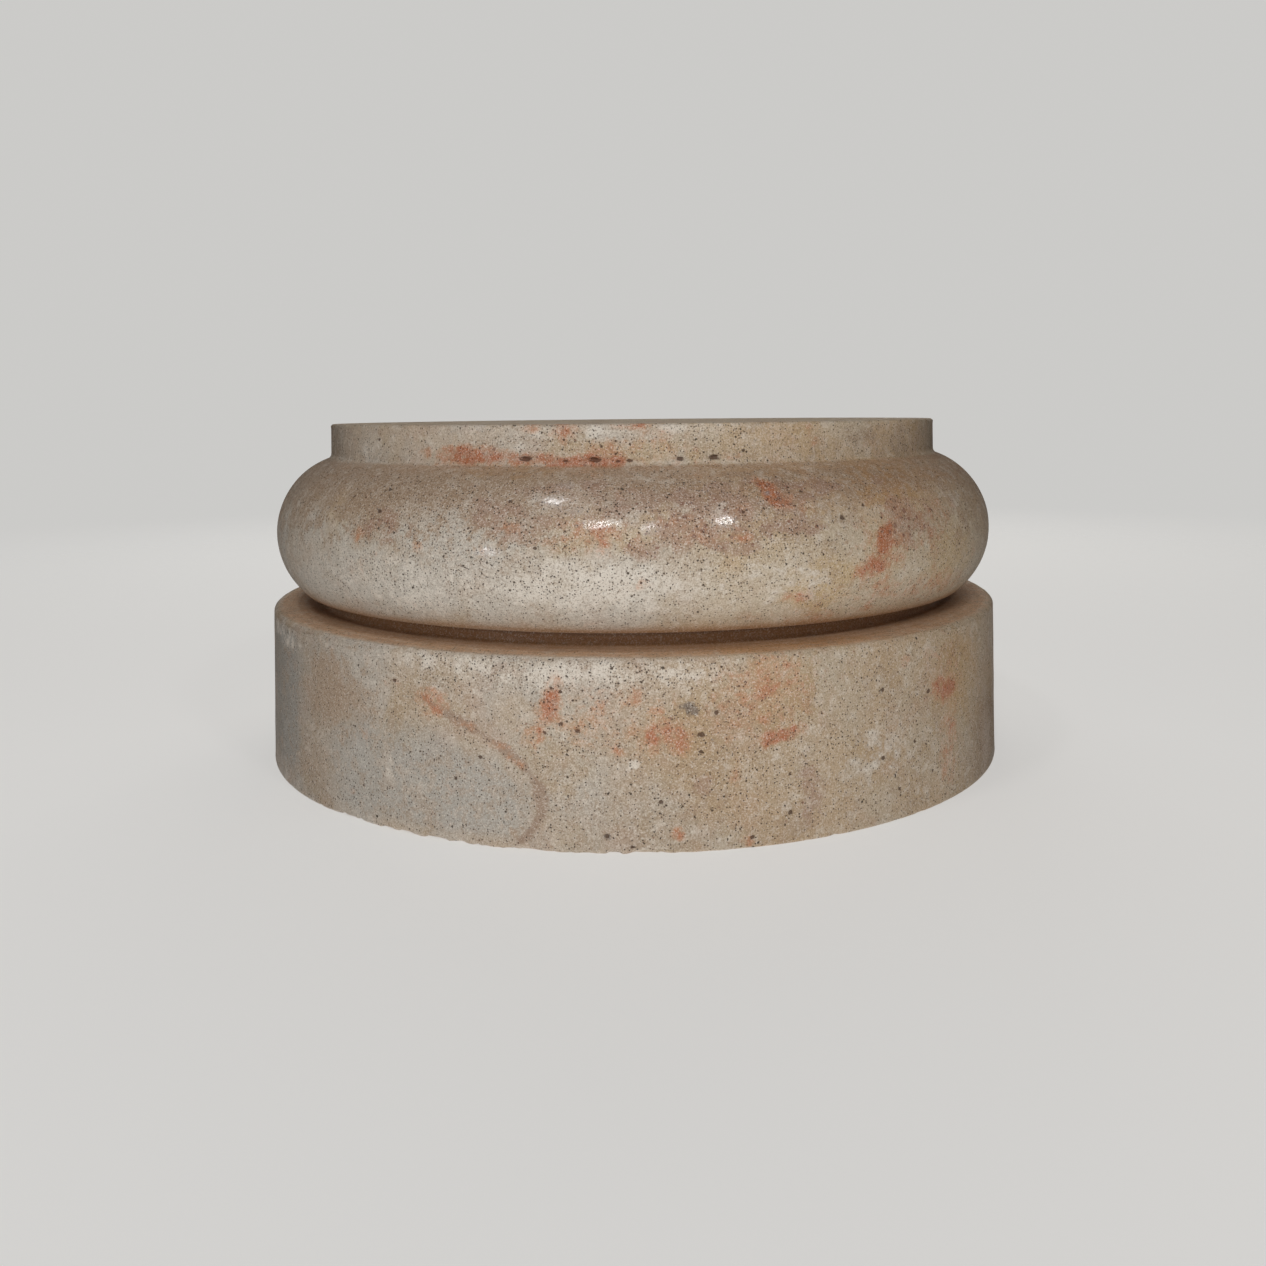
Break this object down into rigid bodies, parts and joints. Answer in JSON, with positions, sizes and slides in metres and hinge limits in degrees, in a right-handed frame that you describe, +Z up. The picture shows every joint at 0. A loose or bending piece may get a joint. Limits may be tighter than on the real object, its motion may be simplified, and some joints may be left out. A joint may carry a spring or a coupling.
{
  "type": "column base",
  "caption": "Round stone column base: a disc plinth, a narrow neck, a bold half-round torus and a plain listel with a flat bed for the shaft.",
  "frame": {"origin": "centre of the round underside, on the axis of the column", "axes": "+Z up along the axis of the column, -Y to the front"},
  "size_m": [0.52, 0.52, 0.23],
  "materials": {
    "stone": "cream to tan pitted limestone with rust stains, worn satin polish on the turned faces"
  },
  "bodies": {
    "root": {"column_base": "stone"}
  },
  "joints": []
}
